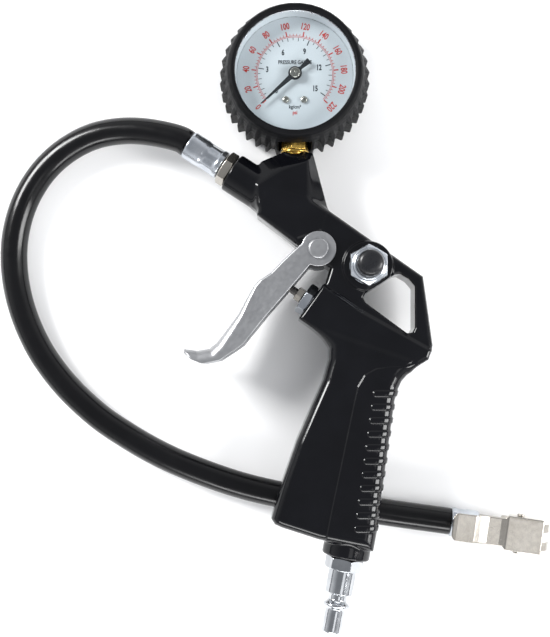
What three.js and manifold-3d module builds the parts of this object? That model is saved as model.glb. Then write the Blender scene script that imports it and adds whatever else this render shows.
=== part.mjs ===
// Hand-held tyre inflator: a die-cast pistol body with a trigger valve, a dial gauge in a toothed rubber
// boot, a bleed button, an air-line plug and a rubber hose that ends in a clip-on tyre chuck.
// Millimetres. The tool lies on its side on the floor, dial up: +Z is up and +Y points at the gauge.
import * as THREE from "three";
import { mergeVertices } from "three/addons/utils/BufferGeometryUtils.js";
import Module from "manifold-3d";

const wasm = await Module();
wasm.setup();

// ---------------------------------------------------------------- driving dimensions

const TILT = 2.9; // degrees the gun leans back, because its grip rests on the hose
const PIVOT = [6.2, 31.75, 21.35]; // trigger pivot above the floor, seen from the middle of the footprint

const HEAD_HALF = 11; // half thickness of the head and its rails
const HOUSING_HALF = 12.5; // half thickness of the valve housing
const GRIP_HALF = 13.6; // half thickness of the grip
const RIB_PITCH = 6.6; // thumb ribs down the back of the grip
const RIB_COUNT = 11;

const BARREL_TIP = [-43.05, 39.9]; // end of the hose barrel, from the trigger pivot
const BARREL_SLOPE = 33; // degrees below level
const BARREL_RADIUS = 10;
const VALVE_FACE = [-3.2, -25.7]; // where the valve pin enters the housing
const VALVE_SLOPE = 34;
const INLET_FACE = [13.35, -151.5]; // bottom of the grip, where the air-line plug screws in
const INLET_SLOPE = 79; // the inlet bore runs up the grip and slightly back
const BLEED = [24.3, -8.5]; // bleed button axis
const STEM_X = -11.4; // gauge stem and gauge axis
const POST_TOP = 49;

const EAR_RADIUS = 8.7; // trigger lever ears around the pivot
const LEVER_HALF = 13.3; // half width of the lever over its side walls
const LEVER_SHEET = 1.9;
const PIVOT_RADIUS = 2.5;
const PIN_RADIUS = 2;
const PIN_REACH = 22.4; // the valve pin stands this far out of the housing
const SEAT_DEPTH = 18; // the valve seat, measured into the housing

const GAUGE_Y = 87.9; // gauge axis, from the trigger pivot
const CASE_RADIUS = 31.9;
const BOOT_RADIUS = 35; // root of the boot's teeth
const TOOTH_RADIUS = 37.85;
const TEETH = 40;
const DIAL_RADIUS = 29;
const ZERO_ANGLE = 222; // where the pointer rests on the dial
const SECTOR_PIVOT = [8, -9]; // from the pointer's axis
const SECTOR_RADIUS = 10.7;
const SECTOR_SWEEP = 30;

const HOSE_RADIUS = 6.8;
const CHUCK = [74, -105.75, 7.5]; // where the hose enters the chuck
const CHUCK_TURN = -8; // degrees

// The hose's middle line: out of its ferrule, down to the floor and round to the chuck.
const HOSE_ROUTE = [
  [-58.95, 86, 18.6],
  [-62.2, 88.1, 18.4],
  [-78.3, 92.2, 16],
  [-92.7, 93.2, 13.5],
  [-107.3, 90.9, 11],
  [-120.6, 84.7, 9],
  [-131.8, 75.5, 7.6],
  [-140.2, 64, 7],
  [-145.7, 51.2, 6.9],
  [-148.5, 38, 6.9],
  [-148.8, 25.1, 6.9],
  [-147.2, 12.8, 6.9],
  [-144.2, 1.4, 6.9],
  [-140, -9.3, 6.9],
  [-134.8, -19.3, 6.9],
  [-128.5, -28.5, 6.9],
  [-121.2, -37.3, 6.9],
  [-112.9, -45.5, 6.9],
  [-103.4, -53.5, 6.9],
  [-92.2, -61, 6.9],
  [-79.2, -68.7, 6.9],
  [-63.9, -76.1, 6.9],
  [-38.3, -85.6, 6.9],
  [-19.2, -90.7, 6.9],
  [13, -96.6, 6.9],
  [43.8, -101.5, 6.9],
];

// ---------------------------------------------------------------- shape helpers

const degrees = THREE.MathUtils.degToRad;

// A closed solid from any three.js geometry.
function solid(geometry) {
  const bare = geometry.clone();
  bare.deleteAttribute("normal");
  bare.deleteAttribute("uv");
  const merged = mergeVertices(bare, 1e-4);
  return new wasm.Manifold(
    new wasm.Mesh({
      numProp: 3,
      vertProperties: merged.attributes.position.array,
      triVerts: new Uint32Array(merged.index.array),
    }),
  );
}

// A solid turned round the Z axis from [radius, z] points that start and end on the axis, or close.
function turned(profile, segments = 20) {
  const points = profile.map(([r, z]) => new THREE.Vector2(r, z));
  if (THREE.ShapeUtils.area(points) < 0) points.reverse();
  if (profile[0][0] > 0) points.push(points[0].clone());
  return solid(new THREE.LatheGeometry(points, segments).rotateX(Math.PI / 2));
}

// The half outline of one end, with the same end mirrored below it.
const bothEnds = (half) => [...half.toReversed().map(([r, z]) => [r, -z]), ...half];

const disc = (radius, from, to, segments = 20) =>
  turned([[0, from], [radius, from], [radius, to], [0, to]], segments);

const ring = (inner, outer, from, to, segments = 20) =>
  turned([[inner, from], [outer, from], [outer, to], [inner, to]], segments);

const flatPoints = (outline) => outline.map(([x, y]) => new THREE.Vector2(x, y));

// A flat outline raised from one height to another; bevel rounds both rims.
function prism(outline, from, to, bevel = 0) {
  const geometry = new THREE.ExtrudeGeometry(new THREE.Shape(flatPoints(outline)), {
    depth: to - from - 2 * bevel,
    bevelEnabled: bevel > 0,
    bevelThickness: bevel,
    bevelSize: bevel,
    bevelOffset: -bevel,
    bevelSegments: bevel > 2 ? 3 : 1,
  });
  return solid(geometry.translate(0, 0, from + bevel));
}

// A section swept along a curve.
function swept(section, curve, steps) {
  const shape = new THREE.Shape(flatPoints(section));
  return solid(new THREE.ExtrudeGeometry(shape, { steps, extrudePath: curve, bevelEnabled: false }));
}

function polygon(sides, radius, turn = 0) {
  return Array.from({ length: sides }, (_, i) => {
    const angle = degrees(turn) + (i * 2 * Math.PI) / sides;
    return [radius * Math.cos(angle), radius * Math.sin(angle)];
  });
}

// A hexagon bar with chamfered corners, sized across its flats.
function hexagon(flats, from, to, turn = 0) {
  const corner = flats / Math.sqrt(3);
  const rim = flats / 2 + 0.1;
  const drop = (corner - rim) * 0.5;
  const half = [[rim, from], [corner, from + drop], [corner, to - drop], [rim, to]];
  const chamfered = turned([[0, from], ...half, [0, to]], 24);
  return prism(polygon(6, corner, turn), from, to).intersect(chamfered);
}

const box = (low, high) =>
  solid(
    new THREE.BoxGeometry(...high.map((value, i) => value - low[i])).translate(
      ...high.map((value, i) => (value + low[i]) / 2),
    ),
  );

// A skin over sections that have the same number of points, closed by a flat cap at each end.
function lofted(sections, cap = fan(sections[0].length)) {
  const count = sections[0].length;
  const last = (sections.length - 1) * count;
  const triangles = [];
  for (let start = 0; start < last; start += count) {
    for (let i = 0; i < count; i++) {
      const a = start + i;
      const b = start + ((i + 1) % count);
      triangles.push([a, b, b + count], [a, b + count, a + count]);
    }
  }
  cap.forEach(([a, b, c]) => triangles.push([c, b, a], [a + last, b + last, c + last]));
  return skin(sections.flat(), triangles);
}

const fan = (count) => Array.from({ length: count - 2 }, (_, i) => [0, i + 1, i + 2]);

// A solid from its corners and triangles, turned face out when the triangles all run the other way.
function skin(points, triangles) {
  const geometry = new THREE.BufferGeometry();
  geometry.setAttribute("position", new THREE.Float32BufferAttribute(points.flat(), 3));
  geometry.setIndex(triangles.flat());
  const made = solid(geometry);
  return made.volume() > 0 ? made : skin(points, triangles.map((corners) => corners.toReversed()));
}

// An outline that grows from its faces to the middle of a casting, so that its edges are drafted.
function drafted(middle, face, middleHalf, faceHalf) {
  const levels = [[face, -faceHalf], [middle, -middleHalf], [middle, middleHalf], [face, faceHalf]];
  const sections = levels.map(([outline, z]) => outline.map(([x, y]) => [x, y, z]));
  const cap = THREE.ShapeUtils.triangulateShape(flatPoints(face), []);
  return lofted(sections, cap);
}

// A line moved sideways by a distance, to the right of its direction when the distance is positive.
function offset(line, distance) {
  return line.map(([x, y], i) => {
    const [ax, ay] = line[Math.max(i - 1, 0)];
    const [bx, by] = line[Math.min(i + 1, line.length - 1)];
    const length = Math.hypot(bx - ax, by - ay);
    return [x + ((by - ay) / length) * distance, y - ((bx - ax) / length) * distance];
  });
}

// Moves a solid whose axis is Z to a point, with that axis at an angle in the XY plane.
function aimed(made, [x, y], angle, z = 0) {
  const frame = new THREE.Matrix4()
    .makeRotationZ(degrees(angle))
    .multiply(new THREE.Matrix4().makeRotationY(Math.PI / 2))
    .setPosition(x, y, z);
  return made.transform(frame.elements);
}

const union = (...parts) => parts.reduce((all, part) => all.add(part));
const cut = (from, ...parts) => parts.reduce((left, part) => left.subtract(part), from);
const largest = (made) => made.decompose().reduce((a, b) => (a.volume() > b.volume() ? a : b));
const moved = (made, x, y, z) => made.translate([x, y, z]);

// Turns a solid into a named mesh with its own material.
function mesh(name, made, [colour, roughness, metalness]) {
  const { numProp, vertProperties, triVerts } = made.getMesh();
  const geometry = new THREE.BufferGeometry();
  const interleaved = new THREE.InterleavedBuffer(vertProperties, numProp);
  geometry.setAttribute("position", new THREE.InterleavedBufferAttribute(interleaved, 3, 0));
  geometry.setIndex(new THREE.BufferAttribute(triVerts, 1));
  const flat = geometry.toNonIndexed();
  flat.computeVertexNormals();
  const material = new THREE.MeshStandardMaterial({ color: colour, roughness, metalness });
  const piece = new THREE.Mesh(flat, material);
  piece.name = name;
  return piece;
}

const BLACK_ENAMEL = [0x18191d, 0.25, 0.3];
const RUBBER = [0x1b1c1e, 0.8, 0];
const HOSE_RUBBER = [0x0e0e10, 0.35, 0];
const NICKEL = [0xa8a49a, 0.35, 0.9];
const ZINC = [0xc9ced4, 0.3, 0.95];
const SATIN_STEEL = [0x8d8f92, 0.45, 0.9];
const CHROME = [0xd8dadd, 0.12, 1];
const BRASS = [0xb8912f, 0.35, 0.95];
const STEEL = [0x9a9ca0, 0.4, 0.9];
const BLACK_PLASTIC = [0x1e1f22, 0.45, 0];
const DIAL_WHITE = [0xe9edf0, 0.5, 0];
const GLASS = [0xdfe8ec, 0.05, 0];

// ---------------------------------------------------------------- body casting

const HEAD_OUTLINE = [
  [-30.4, 17.2], [-11.1, 2.4], [5.7, -9.3], [4.6, -12.8], [3, -17.8], [20.5, -29.6], [44, -43.2],
  [53.4, -48], [56.1, -47.4], [51.6, -13.4], [5.2, 19.3], [-5, 26], [-26, 31],
];
const HEAD_WINDOW = [
  [21.9, -23.9], [23.3, -21.8], [37.4, -12.7], [40, -12.2], [44.4, -14.8], [47.4, -18.3],
  [47.3, -38.7], [46.2, -40.9], [43.5, -41.4], [23.3, -26.4],
];
const POST_MIDDLE = [
  [-33, 22], [-11.1, 2.4], [5.2, 8], [5.2, 19.3], [-2.3, POST_TOP - 1], [-3.5, POST_TOP],
  [-17.3, POST_TOP], [-27.9, 44.5], [-34, 38],
];
const POST_FACE = [
  [-30, 22], [-11, 6], [1, 10], [3.4, 18.2], [-5, 23], [-5.2, POST_TOP - 5],
  [-17.8, POST_TOP - 9.5], [-24.8, 35.3], [-30, 32],
];
const HOUSING_OUTLINE = [
  [-9.8, -34.2], [0.5, -41.5], [14, -50], [33, -59], [44.8, -59.9], [53.8, -54.4], [55.5, -49.5],
  [53.1, -48.2], [20.9, -30.2], [2.2, -17.1], [1.4, -18.6],
];
// The grip from the housing down to its foot: front point, back point, half thickness.
const GRIP_STATIONS = [
  [[-2, -37], [47, -54], 11.5],
  [[1.6, -42], [44.6, -59.5], GRIP_HALF],
  [[5.4, -48.5], [40.2, -64.6], GRIP_HALF],
  [[5.2, -54], [38.3, -68.6], GRIP_HALF],
  [[2.4, -64.1], [36.6, -74.5], GRIP_HALF],
  [[-10.8, -94], [32.4, -103.9], GRIP_HALF],
  [[-18.2, -115.1], [29.6, -123], GRIP_HALF],
  [[-23.2, -131.8], [27.7, -138], GRIP_HALF],
  [[-21.5, -134.6], [26.8, -144.4], 12.6],
  [[-18, -135.7], [26, -146.6], 10.1],
];

// A rounded section between two points of the gun's middle plane.
function gripSection([[ax, ay], [bx, by], half]) {
  const corner = 6.5;
  const length = Math.hypot(bx - ax, by - ay);
  const quarter = [0, 30, 60, 90].map(degrees);
  const across = (along, z) => [ax + ((bx - ax) * along) / length, ay + ((by - ay) * along) / length, z];
  const centres = [[corner, -1, 1], [length - corner, -1, -1], [length - corner, 1, -1], [corner, 1, 1]];
  return centres.flatMap(([along, side, outward], i) => {
    const turns = i % 2 ? quarter.toReversed() : quarter;
    return turns.map((turn) =>
      across(along - outward * corner * Math.cos(turn), side * (half - corner + corner * Math.sin(turn))),
    );
  });
}

const GRIP_BACK_TOP = [37.4, -69];
const GRIP_BACK_BOTTOM = [28.2, -134];
// One thumb rib, wrapped round the back edge of the grip.
const RIB_OUTLINE = [
  [-7, -14], [-4.6, -14], [-1.2, -12.8], [0.6, -9.2], [0.6, 9.2], [-1.2, 12.8], [-4.6, 14], [-7, 14],
];

function thumbRibs() {
  const top = new THREE.Vector2(...GRIP_BACK_TOP);
  const step = new THREE.Vector2(...GRIP_BACK_BOTTOM).sub(top).setLength(RIB_PITCH);
  return Array.from({ length: RIB_COUNT }, (_, i) => {
    const place = top.clone().addScaledVector(step, i + 0.3);
    return moved(prism(RIB_OUTLINE, -1.4, 1.4).rotate([-90, 0, 0]), place.x, place.y, 0);
  });
}

function bodyCasting() {
  const outside = union(
    prism(HEAD_OUTLINE, -HEAD_HALF, HEAD_HALF, 1.5),
    drafted(POST_MIDDLE, POST_FACE, 5, HEAD_HALF),
    prism(HOUSING_OUTLINE, -HOUSING_HALF, HOUSING_HALF, 1.2),
    lofted(GRIP_STATIONS.map(gripSection)),
    aimed(disc(BARREL_RADIUS, 0, 40, 24), BARREL_TIP, -BARREL_SLOPE),
    aimed(disc(11.8, 0, 14, 22), INLET_FACE, INLET_SLOPE),
    moved(disc(12.4, -HEAD_HALF, HOUSING_HALF, 24), ...BLEED, 0),
    ...thumbRibs(),
  );
  const bored = cut(
    outside,
    prism(HEAD_WINDOW, -20, 20),
    disc(PIVOT_RADIUS + 0.3, -20, 20),
    aimed(union(disc(5.4, -1, 13), disc(3, 12, 78)), BARREL_TIP, -BARREL_SLOPE),
    aimed(union(disc(9.6, -3, 0), disc(6.8, -1, 11.5), disc(5, 11, 42)), VALVE_FACE, -VALVE_SLOPE),
    aimed(union(disc(6, -1, 13), disc(3, 12, 106)), INLET_FACE, INLET_SLOPE),
    aimed(union(disc(5.3, -1, 11), disc(2.2, 10, 32)), [STEM_X, POST_TOP], -90),
    aimed(disc(2.2, 0, 40, 16), [8.4, -34], 84),
    moved(disc(5.4, -8.5, 20), ...BLEED, 0),
  );
  return largest(bored).simplify(0.02);
}

// ---------------------------------------------------------------- trigger and its valve

// The finger side of the lever, from the ears to the flared tip.
const FINGER_LINE = [
  [-8.2, 3], [-13.2, -1.5], [-18.8, -7], [-23.4, -11.8], [-28.6, -15.2], [-31.4, -17.8], [-35.4, -24.5],
  [-39.4, -32], [-45.2, -39.7], [-50.2, -46], [-53.7, -48.8], [-59.5, -49.8], [-66.1, -48.9],
];
const REAR_LINE = [
  [-66.4, -51], [-62.3, -54.4], [-57, -56.6], [-48.4, -54.9], [-41.2, -50.2], [-36.7, -46.9],
  [-25, -32.3], [-14.3, -20], [-4.2, -8.1],
];

function triggerLever() {
  const walls = union(
    prism([...FINGER_LINE, ...REAR_LINE, [4, -4], [2, 6]], -LEVER_HALF, LEVER_HALF),
    disc(EAR_RADIUS, -LEVER_HALF, LEVER_HALF, 32),
  );
  const inside = LEVER_HALF - LEVER_SHEET;
  const web = offset(FINGER_LINE, -LEVER_SHEET).slice(1);
  const open = [[-70, -60], [-20, -60], [20, -20], [20, 20], [-10.5, 20], [-10.5, -3.2]];
  const hollow = prism([...web, ...open], -inside, inside);
  return cut(walls, hollow, disc(PIVOT_RADIUS + 0.3, -20, 20));
}

function triggerRivet() {
  const head = LEVER_HALF + 0.3;
  const half = [[PIVOT_RADIUS, head], [5, head], [5, head + 0.9], [4.2, head + 1.4]];
  return turned([[0, -head - 1.4], ...bothEnds(half), [0, head + 1.4]]);
}

function valvePin() {
  const nose = [[0, -PIN_REACH], [1.4, 0.4 - PIN_REACH], [PIN_RADIUS, 1.4 - PIN_REACH]];
  return turned([...nose, [PIN_RADIUS, 23.4], [0, 23.4]], 16);
}

function glandNut() {
  const nut = union(hexagon(14.5, -5, -0.4, 30), disc(6.4, -1, 10));
  return cut(nut, disc(PIN_RADIUS + 0.4, -10, 20, 16), disc(4, 5.5, 20, 16));
}

const packingNut = () => cut(hexagon(6.6, -8.8, -5.3, 0), disc(PIN_RADIUS + 0.4, -10, 0, 16));
const pinSeal = () => ring(PIN_RADIUS + 0.3, 3.7, 5.9, 8.4, 16);
const valveSeat = () => ring(2.9, 4.7, SEAT_DEPTH, SEAT_DEPTH + 5.4);

function valvePoppet() {
  const face = SEAT_DEPTH + 5.7;
  const disk = [[0, face], [4, face], [4.4, face + 0.6], [4.4, face + 3]];
  return turned([...disk, [2, face + 3.2], [2, face + 5.4], [0, face + 5.4]]);
}

// A coil spring along Z with flat-ended turns.
function coil(radius, wire, from, to, turns) {
  class Helix extends THREE.Curve {
    getPoint(t, target = new THREE.Vector3()) {
      const angle = t * turns * 2 * Math.PI;
      const rise = from + wire + t * (to - from - 2 * wire);
      return target.set(radius * Math.cos(angle), radius * Math.sin(angle), rise);
    }
  }
  return swept(polygon(6, wire), new Helix(), Math.round(turns * 10));
}

// ---------------------------------------------------------------- bleed valve

const bleedWasher = () => ring(5.6, 9.2, HOUSING_HALF + 0.3, HOUSING_HALF + 1.1);

function bleedCollar() {
  const nut = union(hexagon(17.8, 14, 20, 30), disc(5, 2, 15));
  return cut(nut, disc(3.2, 0, 30), disc(4.2, 0, 7));
}

function bleedButton() {
  const cap = [[6.4, 22.9], [6.4, 29], [5.7, 31.2], [3.8, 32.2], [0, 32.4]];
  const stem = [[0, -1], [3.8, -1], [3.8, 0.5], [2.7, 0.5], [2.7, 22.9]];
  return turned([...stem, ...cap]);
}

const bleedSeal = () => ring(3.1, 4.9, 0.8, 1.6, 16);

// ---------------------------------------------------------------- air-line plug

function inletPlug() {
  const tip = 37.6;
  const half = [
    [5.6, -10], [5.6, -1], [5.6, 6.4], [6.9, 6.6], [6.9, 17.8], [6.3, 18.4], [4.5, 18.4], [4.5, 21.9],
    [5.9, 21.9], [6.8, 22.8], [6.8, 24.8], [5.9, 25.8], [5, 25.9], [5, 36.8], [4.3, tip],
  ];
  return cut(union(turned([[0, -10], ...half, [0, tip]]), hexagon(16.6, 0.4, 6.5, 0)), disc(3, -20, 60));
}

// ---------------------------------------------------------------- hose and its gun end

function hoseFitting() {
  const tail = [[4.9, -12], [4.9, 0.2], [6, 0.4], [6, 5], [4, 5.2], [4, 24.2], [3.4, 24.8]];
  return cut(union(turned([[0, -12], ...tail, [0, 24.8]]), hexagon(15.5, 0.4, 5.1, 0)), disc(2.2, -20, 40));
}

function ferrule(length) {
  return turned([
    [4.3, 0], [6.9, 0], [7.4, 0.5], [7.4, 2.6], [7.1, 3.2], [7.1, length * 0.55],
    [7.4, length * 0.6], [7.4, length - 0.5], [6.9, length], [4.3, length],
  ]);
}

function hose() {
  const route = HOSE_ROUTE.map((point) => new THREE.Vector3(...point));
  route.push(new THREE.Vector3(...CHUCK).setZ(6.9));
  const curve = new THREE.CatmullRomCurve3(route);
  return swept(polygon(12, HOSE_RADIUS), curve, 44);
}

// ---------------------------------------------------------------- clip-on chuck, pointing along +X

const CLIP_PIVOT = [34.2, 8.3];
const CLIP_HALF = 8.7;
const CLIP_SHEET = 1.2;
// Side view of the pressed clip: thumb pad, dip, flat top and the hooked front.
const CLIP_LINE = [
  [-0.4, 15.8], [2, 15.9], [11, 15.2], [14, 13.2], [18, 12], [24, 11.7], [28, 12.1], [45.4, 12.1],
  [48.6, 9.6], [50.2, 6],
];

function chuckBody() {
  const barrel = union(disc(5.8, 14.6, 28), disc(7, 26.5, 43.6));
  const lug = box([31.4, -4, 4], [37, 4, 10]);
  const flats = box([28.5, -7.1, -5], [33, 7.1, 5]);
  return cut(
    union(aimed(barrel, [0, 0], 0), lug, flats),
    aimed(union(disc(1.8, 0, 40, 16), disc(4.7, 30.6, 60)), [0, 0], 0),
    pinBore(),
  );
}

// Lays a solid that is built along Z across the chuck, on the clip's pivot.
const onClipPivot = (made) => made.rotate([90, 0, 0]).translate([CLIP_PIVOT[0], 0, CLIP_PIVOT[1]]);
const pinBore = () => onClipPivot(disc(1.7, -20, 20, 16));

function chuckPin() {
  const half = [[1.3, 9.1], [2, 9.1], [2, 9.7], [1.4, 10.1]];
  const rivet = turned([[0, -10.1], ...bothEnds(half), [0, 10.1]], 16);
  return onClipPivot(rivet);
}

function chuckClip() {
  const strip = [...CLIP_LINE, ...offset(CLIP_LINE, CLIP_SHEET).reverse()];
  const upright = (outline, half) => prism(outline, -half, half).rotate([90, 0, 0]);
  const flange = [[27.6, 11], [29, 4.5], [33, 2.4], [40, 2.4], [44.6, 5], [45, 11.6]];
  const top = cut(
    upright(strip, CLIP_HALF),
    box([-5, 7, 0], [26.5, 20, 20]),
    box([-5, -20, 0], [26.5, -7, 20]),
    box([46, -2.4, 0], [60, 2.4, 11]),
    box([46, 6.8, 0], [60, 20, 20]),
    box([46, -20, 0], [60, -6.8, 20]),
  );
  const inside = CLIP_HALF - CLIP_SHEET;
  const sides = cut(upright(flange, CLIP_HALF), box([20, -inside, 0], [60, inside, 12]));
  return cut(union(top, sides), pinBore());
}

const chuckSeal = () => aimed(ring(2.3, 4.3, 31, 36), [0, 0], 0);

function chuckDepressor() {
  const half = [[1.2, 24], [1.2, 30.9], [2, 31.6], [2, 33], [1, 34], [1, 39.5]];
  return aimed(turned([[0, 24], ...half, [0, 39.5]], 16), [0, 0], 0);
}

const chuckSpring = () => onClipPivot(coil(2.05, 0.35, 4.4, 7.2, 2.5));

// ---------------------------------------------------------------- pressure gauge, dial facing +Z

// The stem leaves the case downwards; its parts are built along Z and then turned down.
const alongStem = (made) => aimed(made, [0, 0], -90);

function gaugeBoot() {
  const shell = turned([
    [20, -15], [BOOT_RADIUS, -15], [BOOT_RADIUS, 5], [34, 12], [33.3, 16], [32.6, 17.6], [30.6, 17.6],
    [29.9, 17], [29.9, 15.4], [32.2, 15.4], [32.2, -12.5], [20, -12.5],
  ], 40);
  const pitch = 360 / TEETH;
  const teeth = [];
  for (let i = 0; i < TEETH; i++) {
    const angle = -90 + (i + 0.5) * pitch;
    const nearStem = Math.abs(i + 0.5 - TEETH / 2) > TEETH / 2 - 1;
    if (!nearStem) teeth.push(bootTooth().rotate([0, 0, angle]));
  }
  const stemSlot = box([-8.2, -60, -8.2], [8.2, -20, 8.2]);
  return cut(union(shell, ...teeth), stemSlot).simplify(0.02);
}

// One ridge of the boot: full height at the back, tapering to a point at the front.
function bootTooth() {
  const root = BOOT_RADIUS - 1;
  const corners = [
    [root, -1.9, -15], [root, 1.9, -15], [TOOTH_RADIUS, 1.1, -15], [TOOTH_RADIUS, -1.1, -15],
    [root, -1.9, 4], [root, 1.9, 4], [TOOTH_RADIUS, 1.1, -1], [TOOTH_RADIUS, -1.1, -1],
    [root, 0, 9],
  ];
  return skin(corners, [
    [0, 2, 1], [0, 3, 2], [1, 2, 6], [1, 6, 5], [2, 3, 7], [2, 7, 6], [3, 0, 4], [3, 4, 7],
    [0, 1, 5], [0, 5, 4], [4, 5, 8], [5, 6, 8], [6, 7, 8], [7, 4, 8],
  ]);
}

function gaugeCase() {
  const inner = CASE_RADIUS - 0.9;
  const cup = turned([
    [0, -12.2], [CASE_RADIUS, -12.2], [CASE_RADIUS, 12.1], [inner, 12.1], [inner, -11.3], [0, -11.3],
  ], 40);
  return cut(cup, alongStem(disc(5.5, 26, 50)));
}

function gaugeBezel() {
  const seat = [[29.6, 15.1], [29.6, 14.2], [30.5, 14.2], [30.5, 12.4]];
  return turned([...seat, [CASE_RADIUS, 12.4], [CASE_RADIUS, 15.1]], 40);
}

const gaugeLens = () => disc(30.2, 12.4, 13.9, 40);

const DIAL_SCREW = [4.55, -12.9];

function dialPlate() {
  const [x, y] = DIAL_SCREW;
  const hole = disc(1.3, 0, 20, 12);
  return cut(disc(DIAL_RADIUS, 6, 6.8, 40), hole, moved(hole, x, y, 0), moved(hole, -x, y, 0));
}

function dialScrew() {
  const head = [[1, 7.1], [1.7, 7.1], [1.7, 7.9], [1.2, 8.3], [0, 8.3]];
  return turned([[0, 0.4], [1, 0.4], ...head], 16);
}

function pointer() {
  const blade = [
    [-9, -1.4], [-3, -0.6], [-1.6, -1.6], [1.6, -1.6], [23, -0.15], [23, 0.15], [1.6, 1.6], [-1.6, 1.6],
    [-3, 0.6], [-9, 1.4],
  ];
  return cut(prism(blade, 9, 9.7), disc(1.1, 0, 20, 12)).rotate([0, 0, ZERO_ANGLE]);
}

function pointerHub() {
  const cap = [[2.85, 10], [2.85, 10.9], [2.3, 11.3], [0, 11.3]];
  return turned([[0, 10.6], [1.1, 10.6], [1.1, 10], ...cap]);
}

function pinionShaft() {
  const pinion = [[0.7, -3.2], [1, -3.2], [1, -1], [0.7, -1]];
  return turned([[0, -8], [0.7, -8], ...pinion, [0.7, 10.3], [0, 10.3]], 12);
}

function sectorGear() {
  const start = 184 - THREE.MathUtils.radToDeg(Math.atan2(-SECTOR_PIVOT[1], SECTOR_PIVOT[0]));
  const arc = Array.from({ length: 9 }, (_, i) => {
    const angle = degrees(start - ((SECTOR_SWEEP + 8) * i) / 8);
    return [SECTOR_RADIUS * Math.cos(angle), SECTOR_RADIUS * Math.sin(angle)];
  });
  const tail = [[-0.5, -2], [2.6, -5], [4.6, -4.2], [2, 0.4]];
  const toothed = prism([[1.6, 0.6], ...arc.toReversed(), [-1.6, -0.6]], -2.6, -1.6);
  const plate = union(toothed, disc(2.2, -2.6, -1.6), prism(tail, -2.6, -1.6));
  return union(plate, disc(0.7, -8, 3.4, 12)).translate([...SECTOR_PIVOT, 0]);
}

const LINK_START = [SECTOR_PIVOT[0] + 3.3, SECTOR_PIVOT[1] - 3.7];
const LINK_END = [19.6, -4.2];

function bourdonLink() {
  const x = LINK_END[0] - LINK_START[0];
  const y = LINK_END[1] - LINK_START[1];
  const length = Math.hypot(x, y);
  const eye = disc(1.3, -1.3, -0.6, 12);
  const bar = union(eye, moved(eye, length, 0, 0), box([0, -0.6, -1.3], [length, 0.6, -0.6]));
  const turn = THREE.MathUtils.radToDeg(Math.atan2(y, x));
  return bar.rotate([0, 0, turn]).translate([...LINK_START, 0]);
}

function bourdonTube() {
  const arc = new THREE.EllipseCurve(0, 0, 24, 24, degrees(-112), degrees(-12), true);
  const points = arc.getPoints(24).map(({ x, y }) => new THREE.Vector3(x, y, -3.6));
  const section = [
    [-3, -1.2], [-3.8, -0.6], [-3.8, 0.6], [-3, 1.2], [3, 1.2], [3.8, 0.6], [3.8, -0.6], [3, -1.2],
  ];
  return swept(section, new THREE.CatmullRomCurve3(points), 32);
}

const bourdonTip = () => box([18.6, -6, -4.4], [21.9, -3.4, -1.7]);

function gaugeSocket() {
  const neck = turned([[0, 27], [4.9, 27], [4.9, 33], [6, 33], [6, 37], [4.8, 37.2], [4.8, 49], [0, 49]]);
  const block = box([-6.6, -29, -7], [6.6, -20, 1.2]);
  const outside = union(alongStem(neck), alongStem(hexagon(12.1, 32.9, 37.4, 0)), block);
  return cut(outside, alongStem(disc(1.5, 23, 60, 12)));
}

const socketWasher = () => alongStem(ring(5.1, 7.1, 37.7, 38.5));

const MOVEMENT_OUTLINE = [
  [-6, -26], [6, -26], [11, -17], [14, -8], [11, 4], [7, 11.5], [0, 11.5], [-11, 2], [-12, -15],
];
const PILLARS = [[-9, -12.5], [4, 8.5]];

function movementPlate(from, to, lowest) {
  const outline = MOVEMENT_OUTLINE.map(([x, y]) => [x, Math.max(y, lowest)]);
  return cut(
    prism(outline, from, to),
    disc(1.1, -20, 20, 12),
    moved(disc(1.1, -20, 20, 12), ...SECTOR_PIVOT, 0),
    moved(disc(1.4, -20, 20, 12), ...DIAL_SCREW, 0),
    moved(disc(1.4, -20, 20, 12), -DIAL_SCREW[0], DIAL_SCREW[1], 0),
  );
}

const pillar = ([x, y]) => moved(disc(1.5, -4.4, 1.2, 12), x, y, 0);

// ---------------------------------------------------------------- assembly

function frame(name, ...pieces) {
  const group = new THREE.Group();
  group.name = name;
  group.add(...pieces);
  return group;
}

// A frame whose local Z axis leaves a point of the gun at an angle in the gun's middle plane.
function aimedFrame(name, [x, y], angle, ...pieces) {
  const group = frame(name, ...pieces);
  group.applyMatrix4(
    new THREE.Matrix4()
      .makeRotationZ(degrees(angle))
      .multiply(new THREE.Matrix4().makeRotationY(Math.PI / 2))
      .setPosition(x, y, 0),
  );
  return group;
}

const valve = aimedFrame(
  "valve", VALVE_FACE, -VALVE_SLOPE,
  mesh("gland_nut", glandNut(), ZINC),
  mesh("packing_nut", packingNut(), NICKEL),
  mesh("pin_seal", pinSeal(), RUBBER),
  mesh("valve_pin", valvePin(), STEEL),
  mesh("valve_seat", valveSeat(), BRASS),
  mesh("valve_poppet", valvePoppet(), BRASS),
  mesh("valve_spring", coil(3.4, 0.5, SEAT_DEPTH + 12.9, 41.6, 4), STEEL),
);

const inlet = aimedFrame("inlet", INLET_FACE, INLET_SLOPE + 180, mesh("inlet_plug", inletPlug(), CHROME));

const outlet = aimedFrame(
  "outlet", BARREL_TIP, 180 - BARREL_SLOPE,
  mesh("hose_fitting", hoseFitting(), NICKEL),
  mesh("hose_ferrule_gun", moved(ferrule(20.3), 0, 0, 5.5), ZINC),
);

const bleed = frame(
  "bleed",
  mesh("bleed_washer", bleedWasher(), ZINC),
  mesh("bleed_collar", bleedCollar(), ZINC),
  mesh("bleed_button", bleedButton(), BLACK_PLASTIC),
  mesh("bleed_seal", bleedSeal(), RUBBER),
  mesh("bleed_spring", coil(3.2, 0.45, -8.2, -3.5, 2.5), STEEL),
);
bleed.position.set(...BLEED, 0);

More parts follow.
